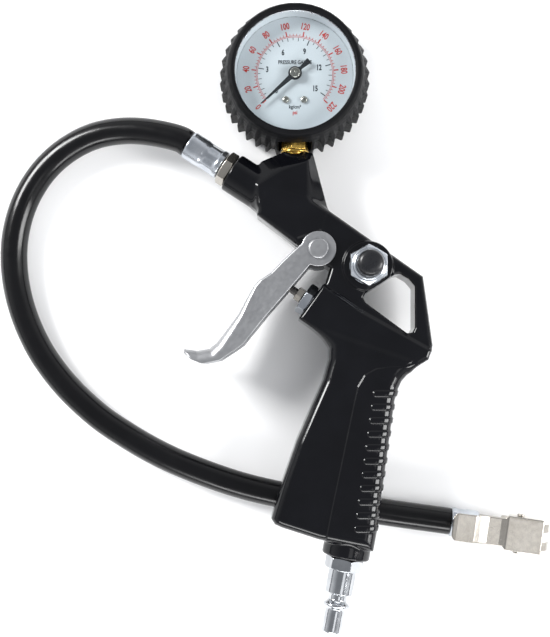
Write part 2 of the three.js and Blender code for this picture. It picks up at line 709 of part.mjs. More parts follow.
const gauge = frame(
  "gauge",
  mesh("gauge_boot", gaugeBoot(), RUBBER),
  mesh("gauge_case", gaugeCase(), STEEL),
  mesh("gauge_bezel", gaugeBezel(), STEEL),
  mesh("gauge_lens", gaugeLens(), GLASS),
  mesh("dial_plate", dialPlate(), DIAL_WHITE),
  mesh("dial_screw_left", moved(dialScrew(), -DIAL_SCREW[0], DIAL_SCREW[1], 0), STEEL),
  mesh("dial_screw_right", moved(dialScrew(), ...DIAL_SCREW, 0), STEEL),
  mesh("pointer", pointer(), BLACK_PLASTIC),
  mesh("pointer_hub", pointerHub(), CHROME),
  mesh("pinion_shaft", pinionShaft(), BRASS),
  mesh("sector_gear", sectorGear(), BRASS),
  mesh("bourdon_link", bourdonLink(), BRASS),
  mesh("bourdon_tip", bourdonTip(), BRASS),
  mesh("bourdon_tube", bourdonTube(), BRASS),
  mesh("gauge_socket", gaugeSocket(), BRASS),
  mesh("socket_washer", socketWasher(), BRASS),
  mesh("movement_plate_front", movementPlate(1.5, 2.5, -30), BRASS),
  mesh("movement_plate_back", movementPlate(-5.6, -4.7, -19), BRASS),
  mesh("movement_pillar_low", pillar(PILLARS[0]), BRASS),
  mesh("movement_pillar_high", pillar(PILLARS[1]), BRASS),
);
gauge.position.set(STEM_X, GAUGE_Y, 0);

const gun = frame(
  "gun",
  mesh("body_casting", bodyCasting(), BLACK_ENAMEL),
  mesh("trigger_lever", triggerLever(), SATIN_STEEL),
  mesh("trigger_rivet", triggerRivet(), SATIN_STEEL),
  valve, inlet, outlet, bleed, gauge,
);
gun.rotation.x = degrees(-TILT);
gun.position.set(...PIVOT);

const chuck = frame(
  "chuck",
  mesh("hose_ferrule_chuck", moved(ferrule(13.8), 0, 0, 0.4).rotate([0, 90, 0]), ZINC),
  mesh("chuck_body", chuckBody(), NICKEL),
  mesh("chuck_clip", chuckClip(), NICKEL),
  mesh("chuck_pin", chuckPin(), NICKEL),
  mesh("chuck_seal", chuckSeal(), RUBBER),
  mesh("chuck_depressor", chuckDepressor(), BRASS),
  mesh("chuck_spring", chuckSpring(), STEEL),
);
chuck.rotation.z = degrees(CHUCK_TURN);
chuck.position.set(...CHUCK);

const group = frame("tyre_inflator", gun, mesh("hose", hose(), HOSE_RUBBER), chuck);

export default group;
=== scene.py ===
"""Tyre inflator with gauge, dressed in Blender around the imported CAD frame.

Lengths in the shape code are millimetres in the gun's own frame; meshes are stored in metres in the world.
"""
import math

import bmesh
import bpy
import numpy as np
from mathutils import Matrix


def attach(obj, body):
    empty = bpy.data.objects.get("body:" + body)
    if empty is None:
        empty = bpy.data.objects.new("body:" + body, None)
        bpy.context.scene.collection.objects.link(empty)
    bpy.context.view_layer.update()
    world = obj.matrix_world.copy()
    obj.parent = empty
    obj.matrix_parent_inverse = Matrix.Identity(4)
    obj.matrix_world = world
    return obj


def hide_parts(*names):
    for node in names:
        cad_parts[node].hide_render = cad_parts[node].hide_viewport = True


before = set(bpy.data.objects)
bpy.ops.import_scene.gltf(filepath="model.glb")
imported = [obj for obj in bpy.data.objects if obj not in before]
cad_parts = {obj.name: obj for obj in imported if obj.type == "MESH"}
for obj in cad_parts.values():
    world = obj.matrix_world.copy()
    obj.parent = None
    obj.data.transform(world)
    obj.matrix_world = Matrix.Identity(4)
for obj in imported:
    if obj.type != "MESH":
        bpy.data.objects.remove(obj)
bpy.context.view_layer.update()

import openvdb
from mathutils import Matrix, Vector

MM = 0.001
radians = math.radians

# ---------------------------------------------------------------- places, the same as in the CAD model

TILT = 2.9
PIVOT = (6.2, 31.75, 21.35)
HEAD_HALF = 11
HOUSING_HALF = 12.5
GRIP_HALF = 13.6
RIB_PITCH = 6.6
RIB_COUNT = 11
BARREL_TIP = (-43.05, 39.9)
BARREL_SLOPE = 33
BARREL_RADIUS = 10
VALVE_FACE = (-3.2, -25.7)
VALVE_SLOPE = 34
INLET_FACE = (13.35, -151.5)
INLET_SLOPE = 79
BLEED = (24.3, -8.5)
BUTTON_SKIRT = 22.9
BUTTON_TRAVEL = 2.2
# The collar stops short of the pressed button.
COLLAR_TOP = BUTTON_SKIRT - BUTTON_TRAVEL - 0.2
STEM_X = -11.4
POST_TOP = 49
EAR_RADIUS = 8.7
LEVER_HALF = 13.3
LEVER_SHEET = 1.9
GAUGE_Y = 87.9
TEETH = 40
TOOTH_RADIUS = 37.85
DIAL_SCREW = (4.55, -12.9)
ZERO_ANGLE = 222
HOSE_RADIUS = 6.8
CHUCK = (74, -105.75, 7.5)
CHUCK_TURN = -8

# The hose's middle line from the gun's ferrule to the chuck's, in metres.
HOSE_ROUTE = [
    (-0.05895, 0.086, 0.0186), (-0.0622, 0.0881, 0.0184), (-0.0783, 0.0922, 0.016),
    (-0.0927, 0.0932, 0.0135), (-0.1073, 0.0909, 0.011), (-0.1206, 0.0847, 0.009),
    (-0.1318, 0.0755, 0.0076), (-0.1402, 0.064, 0.007), (-0.1457, 0.0512, 0.0069),
    (-0.1485, 0.038, 0.0069), (-0.1488, 0.0251, 0.0069), (-0.1472, 0.0128, 0.0069),
    (-0.1442, 0.0014, 0.0069), (-0.14, -0.0093, 0.0069), (-0.1348, -0.0193, 0.0069),
    (-0.1285, -0.0285, 0.0069), (-0.1212, -0.0373, 0.0069), (-0.1129, -0.0455, 0.0069),
    (-0.1034, -0.0535, 0.0069), (-0.0922, -0.061, 0.0069), (-0.0792, -0.0687, 0.0069),
    (-0.0639, -0.0761, 0.0069), (-0.0383, -0.0856, 0.0069), (-0.0192, -0.0907, 0.0069),
    (0.013, -0.0966, 0.0069), (0.0438, -0.1015, 0.0069), (0.074, -0.10575, 0.0069),
]


def aim(point, angle):
    """A frame in the gun whose Z axis leaves a point at an angle in the gun's middle plane."""
    turn = Matrix.Rotation(radians(angle), 4, "Z") @ Matrix.Rotation(radians(90), 4, "Y")
    return Matrix.Translation((*point, 0)) @ turn


GUN = Matrix.Translation(PIVOT) @ Matrix.Rotation(radians(-TILT), 4, "X")
VALVE = GUN @ aim(VALVE_FACE, -VALVE_SLOPE)
INLET = GUN @ aim(INLET_FACE, INLET_SLOPE + 180)
OUTLET = GUN @ aim(BARREL_TIP, 180 - BARREL_SLOPE)
BLEED_AXIS = GUN @ Matrix.Translation((*BLEED, 0))
GAUGE = GUN @ Matrix.Translation((STEM_X, GAUGE_Y, 0))
STEM = GAUGE @ aim((0, 0), -90)
CHUCK_FRAME = Matrix.Translation(CHUCK) @ Matrix.Rotation(radians(CHUCK_TURN), 4, "Z")
CHUCK_AXIS = CHUCK_FRAME @ Matrix.Rotation(radians(90), 4, "Y")

# ---------------------------------------------------------------- materials


def mat(name, low, high, rough, metal=0.0, spread=0.06, blotch=60.0, bump=0.02, grain=900.0,
        stretch=(1, 1, 1), **sockets):
    """A finish that drifts between two colours, with uneven roughness and a fine grained surface."""
    material = bpy.data.materials.new(name)
    material.use_nodes = True
    tree = material.node_tree
    shader = tree.nodes["Principled BSDF"]
    shader.inputs["Metallic"].default_value = metal
    for socket, value in sockets.items():
        shader.inputs[socket.replace("_", " ")].default_value = value
    place = tree.nodes.new("ShaderNodeTexCoord")
    mapping = tree.nodes.new("ShaderNodeMapping")
    mapping.inputs["Scale"].default_value = stretch
    tree.links.new(place.outputs["Object"], mapping.inputs["Vector"])

    def noise(scale, detail):
        node = tree.nodes.new("ShaderNodeTexNoise")
        node.inputs["Scale"].default_value = scale
        node.inputs["Detail"].default_value = detail
        tree.links.new(mapping.outputs["Vector"], node.inputs["Vector"])
        return node.outputs["Fac"]

    colour = tree.nodes.new("ShaderNodeValToRGB")
    colour.color_ramp.elements[0].position = 0.35
    colour.color_ramp.elements[0].color = (*low, 1)
    colour.color_ramp.elements[1].position = 0.65
    colour.color_ramp.elements[1].color = (*high, 1)
    tree.links.new(noise(blotch, 4), colour.inputs["Fac"])
    tree.links.new(colour.outputs["Color"], shader.inputs["Base Color"])
    shine = tree.nodes.new("ShaderNodeMapRange")
    shine.inputs["From Min"].default_value = 0.3
    shine.inputs["From Max"].default_value = 0.7
    shine.inputs["To Min"].default_value = max(rough - spread, 0.02)
    shine.inputs["To Max"].default_value = rough + spread
    tree.links.new(noise(grain * 0.35, 5), shine.inputs["Value"])
    tree.links.new(shine.outputs["Result"], shader.inputs["Roughness"])
    relief = tree.nodes.new("ShaderNodeBump")
    relief.inputs["Strength"].default_value = 1.0
    relief.inputs["Distance"].default_value = bump * MM
    tree.links.new(noise(grain, 3), relief.inputs["Height"])
    tree.links.new(relief.outputs["Normal"], shader.inputs["Normal"])
    return material


ENAMEL = mat("black_enamel", (0.002, 0.0021, 0.003), (0.003, 0.0032, 0.0044), 0.12, spread=0.04,
             bump=0.012, grain=420, Specular_IOR_Level=0.3)
BOOT = mat("boot_rubber", (0.0026, 0.0028, 0.0034), (0.0046, 0.0048, 0.0058), 0.5, spread=0.08,
           bump=0.02, grain=1500, Specular_IOR_Level=0.09)
HOSE = mat("hose_rubber", (0.0015, 0.0015, 0.0019), (0.003, 0.003, 0.0036), 0.2, spread=0.05,
           blotch=25, bump=0.02, grain=350, Specular_IOR_Level=0.32)
SEAL = mat("seal_rubber", (0.01, 0.01, 0.011), (0.018, 0.018, 0.019), 0.6, grain=1200)
SATIN = mat("satin_nickel", (0.36, 0.365, 0.375), (0.43, 0.435, 0.445), 0.36, 0.92, spread=0.05,
            blotch=45, bump=0.008, grain=1600)
NICKEL = mat("nickel_plate", (0.4, 0.375, 0.335), (0.46, 0.435, 0.395), 0.24, 0.95, spread=0.035,
             blotch=70, bump=0.004, grain=1300)
ZINC = mat("zinc_plate", (0.46, 0.49, 0.53), (0.58, 0.61, 0.65), 0.2, 0.95, spread=0.07,
           blotch=160, bump=0.012, grain=800)
CHROME = mat("plug_chrome", (0.42, 0.435, 0.455), (0.52, 0.535, 0.555), 0.12, 1.0, spread=0.04,
             blotch=120, bump=0.004, grain=1400)
SPRING = mat("spring_steel", (0.33, 0.33, 0.34), (0.45, 0.45, 0.46), 0.3, 0.95, grain=1500)
PIN = mat("dark_pin_steel", (0.13, 0.125, 0.12), (0.22, 0.21, 0.2), 0.3, 0.9, grain=1500)
BRASS = mat("brass", (0.45, 0.28, 0.055), (0.66, 0.44, 0.11), 0.24, 0.95, spread=0.08,
            blotch=260, bump=0.012, grain=1300)
PLASTIC = mat("button_plastic", (0.008, 0.0085, 0.01), (0.012, 0.0125, 0.0145), 0.3, bump=0.006,
              grain=1300, Specular_IOR_Level=0.35)
POINTER = mat("pointer_black", (0.008, 0.009, 0.012), (0.014, 0.015, 0.018), 0.4, grain=1200)
PAINT = mat("dial_paint", (0.6, 0.615, 0.64), (0.65, 0.665, 0.69), 0.45, spread=0.03, blotch=30,
            bump=0.004, grain=1500)
RED_INK = mat("dial_ink_red", (0.5, 0.025, 0.02), (0.6, 0.045, 0.035), 0.5, grain=1500, bump=0.002)
BLACK_INK = mat("dial_ink_black", (0.012, 0.016, 0.024), (0.025, 0.03, 0.04), 0.5, grain=1500,
                bump=0.002)
CASE = mat("case_steel", (0.4, 0.42, 0.45), (0.52, 0.54, 0.57), 0.28, 0.9, grain=1100)


def lens_material():
    """Clear window: it passes light straight through and mirrors a little, more at grazing angles."""
    material = bpy.data.materials.new("gauge_window")
    material.use_nodes = True
    tree = material.node_tree
    tree.nodes.remove(tree.nodes["Principled BSDF"])
    clear = tree.nodes.new("ShaderNodeBsdfTransparent")
    clear.inputs["Color"].default_value = (0.94, 0.965, 0.97, 1)
    mirror = tree.nodes.new("ShaderNodeBsdfGlossy")
    mirror.inputs["Roughness"].default_value = 0.04
    facing = tree.nodes.new("ShaderNodeLayerWeight")
    facing.inputs["Blend"].default_value = 0.12
    mix = tree.nodes.new("ShaderNodeMixShader")
    tree.links.new(facing.outputs["Facing"], mix.inputs["Fac"])
    tree.links.new(clear.outputs["BSDF"], mix.inputs[1])
    tree.links.new(mirror.outputs["BSDF"], mix.inputs[2])
    tree.links.new(mix.outputs["Shader"], tree.nodes["Material Output"].inputs["Surface"])
    return material


LENS = lens_material()

# ---------------------------------------------------------------- distance fields


def polygon(outline, x, y):
    """Distance to a closed outline, negative inside."""
    nearest = None
    inside = None
    for (ax, ay), (bx, by) in zip(outline, outline[1:] + outline[:1]):
        ex, ey = bx - ax, by - ay
        if ex == ey == 0:
            continue
        wx, wy = x - ax, y - ay
        along = np.clip((wx * ex + wy * ey) / (ex * ex + ey * ey), 0, 1)
        squared = (wx - ex * along) ** 2 + (wy - ey * along) ** 2
        nearest = squared if nearest is None else np.minimum(nearest, squared)
        crosses = ((ay > y) != (by > y)) & (x < ex * (y - ay) / (ey if ey else 1e-9) + ax)
        inside = crosses if inside is None else inside ^ crosses
    return np.where(inside, -1, 1) * np.sqrt(nearest)


def rounded(flat, depth, radius):
    """The overlap of two fields, with its rim rounded."""
    a = flat + radius
    b = depth + radius
    return np.minimum(np.maximum(a, b), 0) + np.hypot(np.maximum(a, 0), np.maximum(b, 0)) - radius


def join(a, b, blend):
    """Two solids run together with a fillet."""
    near = np.maximum(blend - np.abs(a - b), 0) / blend
    return np.minimum(a, b) - near * near * blend / 4


def keep(a, b, blend):
    """What two solids share, with the new rim softened."""
    return -join(-a, -b, blend)


def less(a, b, blend):
    """One solid cut away from another."""
    return keep(a, -b, blend)


def bar(x, y, z, point, angle, radius, start, end, rim=0.3):
    """A round bar in the gun's middle plane, from a point at an angle."""
    c, s = math.cos(radians(angle)), math.sin(radians(angle))
    along = (x - point[0]) * c + (y - point[1]) * s
    across = np.hypot(-(x - point[0]) * s + (y - point[1]) * c, z)
    return rounded(across - radius, np.maximum(start - along, along - end), rim)


def hexagon(x, y, flats, turn=0):
    """Distance inside a hexagon sized across its flats."""
    sides = [x * math.cos(radians(turn + 60 * i)) + y * math.sin(radians(turn + 60 * i)) for i in range(3)]
    return np.maximum(np.maximum(np.abs(sides[0]), np.abs(sides[1])), np.abs(sides[2])) - flats / 2


def turned(profile, radius, z):
    """Distance to a solid of revolution from its half outline of (radius, height) points."""
    closed = [(-r, h) for r, h in reversed(profile)] + list(profile)
    return polygon(closed, radius, z)


def nut(x, y, z, flats, low, high, turn=0, rim=0.25):
    """A hexagon nut with chamfered corners."""
    around = np.hypot(x, y)
    corner = flats / math.sqrt(3)
    cone = (np.abs(z - (low + high) / 2) - (high - low) / 2) * 0.87 + (around - flats / 2 - 0.1) * 0.5
    return keep(rounded(hexagon(x, y, flats, turn), np.maximum(low - z, z - high), rim), cone, rim)


# ---------------------------------------------------------------- pieces


def put(name, mesh, body, replaced, material):
    """Adds a mesh to the scene as a piece that rides on a body."""
    mesh.materials.append(material)
    piece = bpy.data.objects.new(name, mesh)
    bpy.context.scene.collection.objects.link(piece)
    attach(piece, body)
    if replaced:
        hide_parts(*replaced)
    return piece


def field_mesh(name, field, low, high, voxel, place):
    """The skin of a distance field sampled on a grid, smooth-shaded by the field's own slope."""
    low = np.array(low, float)
    counts = np.ceil((np.array(high) - low) / voxel).astype(int) + 1
    axes = [low[i] + voxel * np.arange(counts[i]) for i in range(3)]
    x, y, z = axes[0][:, None, None], axes[1][None, :, None], axes[2][None, None, :]
    values = np.broadcast_to(field(x, y, z), counts).astype(np.float32)
    values = np.clip(values, -3 * voxel, 3 * voxel)
    grid = openvdb.FloatGrid(3 * voxel)
    grid.copyFromArray(values)
    points, quads = grid.convertToQuads(isovalue=0)
    slope = np.stack(np.gradient(values, voxel), axis=-1)

    def sample(array, where):
        cell = np.clip(np.floor(where).astype(int), 0, counts - 2)
        part = where - cell
        total = 0
        for i in (0, 1):
            for j in (0, 1):
                for k in (0, 1):
                    weight = (np.abs(1 - i - part[:, 0]) * np.abs(1 - j - part[:, 1])
                              * np.abs(1 - k - part[:, 2]))
                    corner = array[cell[:, 0] + i, cell[:, 1] + j, cell[:, 2] + k]
                    total = total + (corner.T * weight).T
        return total

    points = points.astype(float)
    for _ in range(2):
        normal = sample(slope, points)
        steep = np.maximum((normal ** 2).sum(axis=1), 0.05)
        step = sample(values, points) / steep / voxel
        points -= (normal.T * np.clip(step, -0.5, 0.5)).T
    normal = sample(slope, points)
    normal /= np.maximum(np.linalg.norm(normal, axis=1), 1e-6)[:, None]
    a, b, c = (points[quads[:, i]] for i in range(3))
    if (np.cross(b - a, c - a) * normal[quads[:, 0]]).sum() < 0:
        quads = quads[:, ::-1]
    turn = np.array(place.to_3x3())
    points = ((points * voxel + low) @ turn.T + np.array(place.translation)) * MM
    normal = normal @ turn.T
    mesh = bpy.data.meshes.new(name)
    mesh.from_pydata(points.tolist(), [], quads.tolist())
    mesh.shade_smooth()
    mesh.normals_split_custom_set_from_vertices(normal.tolist())
    return mesh


def carve(name, field, low, high, voxel, place, body, replaced, material):
    """A piece made from a distance field in a frame of its own."""
    return put(name, field_mesh(name, field, low, high, voxel, place), body, replaced, material)


def spun(name, profile, place, body, replaced, material, closed=False, segments=96):
    """A piece turned round the Z axis of its frame from (radius, height) points."""
    count = len(profile)
    points = []
    for i in range(segments):
        angle = 2 * math.pi * i / segments
        points += [(r * math.cos(angle), r * math.sin(angle), h) for r, h in profile]
    faces = []
    for i in range(segments):
        this, following = i * count, (i + 1) % segments * count
        for j in range(count if closed else count - 1):
            k = (j + 1) % count
            faces.append((this + j, following + j, following + k, this + k))
    mesh = bpy.data.meshes.new(name)
    mesh.from_pydata([place @ Vector(p) * MM for p in points], [], faces)
    work = bmesh.new()
    work.from_mesh(mesh)
    bmesh.ops.remove_doubles(work, verts=work.verts, dist=1e-7)
    bmesh.ops.dissolve_degenerate(work, edges=work.edges, dist=1e-7)
    bmesh.ops.recalc_face_normals(work, faces=work.faces)
    work.to_mesh(mesh)
    work.free()
    mesh.shade_smooth()
    mesh.set_sharp_from_angle(angle=radians(28))
    return put(name, mesh, body, replaced, material)


# ---------------------------------------------------------------- body casting

HEAD_OUTLINE = [
    (-30.4, 17.2), (-11.1, 2.4), (5.7, -9.3), (4.6, -12.8), (3, -17.8), (18, -34), (44, -48), (50, -54),
    (55.2, -50.5), (56.1, -47.4), (51.6, -13.4), (5.2, 19.3), (-5, 26), (-26, 31),
]
HEAD_WINDOW = [
    (21.9, -23.9), (23.3, -21.8), (37.4, -12.7), (40, -12.2), (44.4, -14.8), (47.4, -18.3),
    (47.3, -38.7), (46.2, -40.9), (43.5, -41.4), (23.3, -26.4),
]
POST_MIDDLE = [
    (-33, 22), (-11.1, 2.4), (5.2, 8), (5.2, 19.3), (-2.3, POST_TOP - 1), (-3.5, POST_TOP),
    (-17.3, POST_TOP), (-27.9, 44.5), (-34, 38),
]
POST_FACE = [
    (-30, 22), (-11, 6), (1, 10), (3.4, 18.2), (-5, 23), (-5.2, POST_TOP - 5),
    (-17.8, POST_TOP - 9.5), (-24.8, 35.3), (-30, 32),
]
HOUSING_OUTLINE = [
    (-9.8, -34.2), (0.5, -41.5), (14, -50), (33, -59), (44.8, -59.9), (53.8, -54.4), (55.5, -49.5),
    (53.1, -48.2), (20.9, -30.2), (2.2, -17.1), (1.4, -18.6),
]
GRIP_OUTLINE = [
    (-2, -37), (1.6, -42), (5.4, -48.5), (5.2, -54), (2.4, -64.1), (-10.8, -94), (-18.2, -115.1),
    (-23.2, -131.8), (-21.5, -134.6), (-18, -136.2), (0, -142), (26, -147.2), (27.7, -138),
    (29.6, -123), (32.4, -103.9), (36.6, -74.5), (38.3, -68.6), (40.2, -64.6), (44.6, -59.5), (47, -54),
]
# Rear panel of the grip, which stands a little proud of the front one.
PANEL_OUTLINE = [
    (3, -143), (6, -128), (12, -100), (17.5, -74), (19, -67.5), (22.5, -61.8), (28, -58.8), (36, -58),
    (52, -58), (60, -100), (50, -150), (10, -160),
]
GRIP_BACK_TOP = (37.4, -69)
GRIP_BACK_BOTTOM = (28.2, -134)


def casting_field(x, y, z):
    deep = np.abs(z)
    head = rounded(polygon(HEAD_OUTLINE, x, y), deep - HEAD_HALF, 2.6)
    draft = np.clip((deep - 5) / 6, 0, 1)
    post = polygon(POST_MIDDLE, x, y) * (1 - draft) + polygon(POST_FACE, x, y) * draft
    post = keep(post, deep - HEAD_HALF, 1.6)
    housing = rounded(polygon(HOUSING_OUTLINE, x, y), deep - HOUSING_HALF, 2.2)
    grip = rounded(polygon(GRIP_OUTLINE, x, y), deep - GRIP_HALF, 5.2)
    panel = keep(grip - 0.6, polygon(PANEL_OUTLINE, x, y), 0.5)
    barrel = bar(x, y, z, BARREL_TIP, -BARREL_SLOPE, BARREL_RADIUS, 0, 40, 0.8)
    inlet = bar(x, y, z, INLET_FACE, INLET_SLOPE, 11.8, 0, 14, 1.2)
    pad = np.hypot(x - BLEED[0], y - BLEED[1])
    pad = rounded(pad - 12.4, np.maximum(z - HOUSING_HALF, -HEAD_HALF - z), 0.7)

    made = join(head, post, 2.2)
    made = join(made, barrel, 1.6)
    made = join(made, housing, 1.4)
    made = join(made, join(grip, panel, 0.35), 3.0)
    made = join(made, inlet, 1.2)
    made = join(made, pad, 0.8)

    step_x = GRIP_BACK_BOTTOM[0] - GRIP_BACK_TOP[0]
    step_y = GRIP_BACK_BOTTOM[1] - GRIP_BACK_TOP[1]
    run = math.hypot(step_x, step_y)
    proud = 0.8 + 0.4 * np.clip(z / 8, -1, 1)
    for i in range(RIB_COUNT):
        travel = (i + 0.3) * RIB_PITCH / run
        centre_x = GRIP_BACK_TOP[0] + step_x * travel
        centre_y = GRIP_BACK_TOP[1] + step_y * travel
        flat = np.hypot(np.maximum(centre_x - 9.4 - x, 0), y - centre_y) - 1.5
        made = join(made, keep(grip - proud, flat, 0.6), 0.4)

    window = polygon(HEAD_WINDOW, x, y)
    made = less(made, window + 0 * z, 1.6)
    made = less(made, bar(x, y, z, BARREL_TIP, -BARREL_SLOPE, 5.4, -2, 13), 0.4)
    for radius, start, end in ((9.6, -4, 0), (6.8, -1, 11.5), (5, 11, 42)):
        made = less(made, bar(x, y, z, VALVE_FACE, -VALVE_SLOPE, radius, start, end), 0.4)
    for radius, start, end in ((6, -1, 13), (3, 12, 60)):
        made = less(made, bar(x, y, z, INLET_FACE, INLET_SLOPE, radius, start, end), 0.4)
    made = less(made, bar(x, y, z, (STEM_X, POST_TOP), -90, 5.3, -3, 11), 0.4)
    made = less(made, np.hypot(x, y) - 2.8 + 0 * z, 0.4)
    bleed_bore = rounded(np.hypot(x - BLEED[0], y - BLEED[1]) - 5.4, -8.5 - z, 0.3)
    return less(made, bleed_bore, 0.4)


VOXEL = 0.5
carve("gun_body", casting_field, (-54, -155, -15.5), (59, 52, 15.5), VOXEL, GUN, "gun",
      ["body_casting"], ENAMEL)

# ---------------------------------------------------------------- trigger

FINGER_LINE = [
    (-8.2, 3), (-13.2, -1.5), (-18.8, -7), (-23.4, -11.8), (-28.6, -15.2), (-31.4, -17.8),
    (-35.4, -24.5), (-39.4, -32), (-45.2, -39.7), (-50.2, -46), (-53.7, -48.8), (-59.5, -49.8),
    (-66.1, -48.9),
]
REAR_LINE = [
    (-66.4, -51), (-62.3, -54.4), (-57, -56.6), (-48.4, -54.9), (-41.2, -50.2), (-36.7, -46.9),
    (-25, -32.3), (-14.3, -20), (-4.2, -8.1),
]


def lever_field(x, y, z):
    deep = np.abs(z)
    ears = np.hypot(x, y) - EAR_RADIUS
    wall = join(polygon(FINGER_LINE + REAR_LINE + [(4, -4), (2, 6)], x, y), ears, 0.5)
    front = FINGER_LINE + [(-66.6, -49.5), (-68, -80), (40, -80), (40, 30), (-8, 30)]
    front = join(polygon(front, x, y), ears, 0.5)
    bend = 1.1 + 4.7 * np.clip((-28 - x) / 24, 0, 1)
    outer = rounded(front, deep - LEVER_HALF, bend)
    outer = keep(outer, wall, 0.5)
    back = FINGER_LINE[1:] + [(-90, -44), (-90, -80), (40, -80), (40, 30), (-8.6, 30), (-8.6, -3)]
    hollow = rounded(polygon(back, x, y) + LEVER_SHEET, deep - LEVER_HALF + LEVER_SHEET,
                     np.maximum(bend - LEVER_SHEET, 0.4))
    near_ears = np.maximum(-10.5 - x, deep - LEVER_HALF + LEVER_SHEET)
    made = less(less(outer, hollow, 0.5), near_ears, 0.5)
    return less(made, np.hypot(x, y) - 2.8 + 0 * z, 0.3)


carve("lever", lever_field, (-68, -59, -14.5), (10.5, 10.5, 14.5), 0.36, GUN,
      "trigger", ["trigger_lever"], SATIN)

# ---------------------------------------------------------------- pressure gauge


def boot_field(x, y, z):
    around = np.hypot(x, y)
    shell = [
        (20, -15), (35, -15), (35.1, 4), (34.7, 9), (34, 13), (33.3, 15.8), (32.4, 17.3), (31.2, 17.6),
        (30.2, 17.3), (29.9, 16.4), (29.9, 15.4), (32.2, 15.4), (32.2, -12.5), (20, -12.5),
    ]
    made = polygon(shell, around, z) - 0.1
    pitch = 2 * math.pi / TEETH
    turn = np.arctan2(y, x) + math.pi / 2
    offset = (np.mod(turn, pitch) - pitch / 2) * around
    number = np.floor(np.mod(turn, 2 * math.pi) / pitch)
    beside = np.minimum(number, TEETH - 1 - number)
    width = 1.9 - 0.5 * (around - 35)
    nose = (z - 9.5) / 7.5 * 1.25
    flank = np.abs(offset) - np.minimum(width, width - nose - 0.75)
    crest = around - TOOTH_RADIUS + np.maximum(z + 1, 0) * 0.27
    tooth = keep(keep(flank, crest, 0.25), np.maximum(-15 - z, 33 - around), 0.3)
    tooth = np.where(beside < 1, 5, tooth)
    made = join(made, tooth, 0.3)
    slot = np.maximum(np.maximum(np.abs(x), np.abs(z)) - 8.2, y + 20)
    return less(made, slot, 0.5)


def arc_points(radius, start, end, count):
    angles = [radians(start + (end - start) * i / count) for i in range(count + 1)]
    return [(radius * math.cos(a), radius * math.sin(a)) for a in angles]


class Marks:
    """Raised print on the dial, gathered into one mesh."""

    def __init__(self):
        self.points = []
        self.faces = []

    def slab(self, outline, low, high):
        start = len(self.points)
        count = len(outline)
        self.points += [(x, y, z) for z in (low, high) for x, y in outline]
        self.faces.append([start + count + i for i in range(count)])
        self.faces.append([start + i for i in reversed(range(count))])
        for i in range(count):
            j = (i + 1) % count
            self.faces.append([start + i, start + j, start + count + j, start + count + i])

    def tick(self, angle, inner, outer, width):
        c, s = math.cos(radians(angle)), math.sin(radians(angle))
        corners = [(inner, -width), (outer, -width), (outer, width), (inner, width)]
        self.slab([(r * c - w * s / 2, r * s + w * c / 2) for r, w in corners], DIAL_TOP, INK_TOP)

    def arc(self, radius, width, start, end):
        steps = 66
        for i in range(steps):
            a = start + (end - start) * i / steps
            b = start + (end - start) * (i + 1) / steps
            ends = arc_points(radius + width / 2, a, b, 1) + arc_points(radius - width / 2, b, a, 1)
            self.slab(ends[::-1] if end < start else ends, DIAL_TOP, INK_TOP)

    def text(self, words, x, y, size, turn=0, narrow=0.7, weight=0.024):
        letters = bpy.data.curves.new("letters", "FONT")
        letters.body = words
        letters.size = size
        letters.align_x = "CENTER"
        letters.align_y = "CENTER"
        letters.extrude = 0.02
        letters.offset = size * weight
        letters.resolution_u = 3
        holder = bpy.data.objects.new("letters", letters)
        shape = holder.to_mesh()
        place = Matrix.Translation((x, y, 6.82)) @ Matrix.Rotation(radians(turn), 4, "Z")
        place = place @ Matrix.Diagonal((narrow, 1, 1, 1))
        start = len(self.points)
        self.points += [tuple(place @ v.co) for v in shape.vertices]
        self.faces += [[start + i for i in p.vertices] for p in shape.polygons]
        holder.to_mesh_clear()
        bpy.data.objects.remove(holder)
        bpy.data.curves.remove(letters)

    def piece(self, name, material):
        mesh = bpy.data.meshes.new(name)
        mesh.from_pydata([GAUGE @ Vector(p) * MM for p in self.points], [], self.faces)
        return put(name, mesh, "gun", [], material)


DIAL_TOP = 6.8
INK_TOP = 6.84
DIAL_SWEEP = 264
PSI_STEP = 1.2
BAR_STEP = 17.2


def dial_print():
    red = Marks()
    for psi in range(0, 221, 4):
        major = psi % 20 == 0
        red.tick(ZERO_ANGLE - psi * PSI_STEP, 19.4, 21.8 if major else 20.4, 0.6 if major else 0.26)
    for psi in range(0, 221, 20):
        angle = ZERO_ANGLE - psi * PSI_STEP
        x, y = 24.4 * math.cos(radians(angle)), 24.4 * math.sin(radians(angle))
        red.text(str(psi), x, y, 4.5, angle - 90)
    for radius in (19.4, 18.8):
        red.arc(radius, 0.22, ZERO_ANGLE, ZERO_ANGLE - DIAL_SWEEP)
    red.text("psi", 0, -19.3, 2.7, narrow=0.8)
    red.piece("dial_print_red", RED_INK)

    black = Marks()
    for half in range(0, 31):
        angle = ZERO_ANGLE - half * BAR_STEP / 2
        length = 2.8 if half % 6 == 0 else 1.8 if half % 2 == 0 else 1.2
        black.tick(angle, 18.5 - length, 18.5, 0.45 if half % 6 == 0 else 0.3)
    for units in (0, 3, 6, 9, 12, 15):
        angle = ZERO_ANGLE - units * BAR_STEP
        reach = 14 if units == 3 else 12.4
        x, y = reach * math.cos(radians(angle)), reach * math.sin(radians(angle))
        black.text(str(units), x, y, 3.9, weight=0.036)
    black.text("PRESSURE GAUGE", 0, 5.95, 2.7, narrow=0.78, weight=0.03)
    black.text("kg/cm²", 0, -16.5, 2.5, narrow=0.9)
    black.piece("dial_print_black", BLACK_INK)


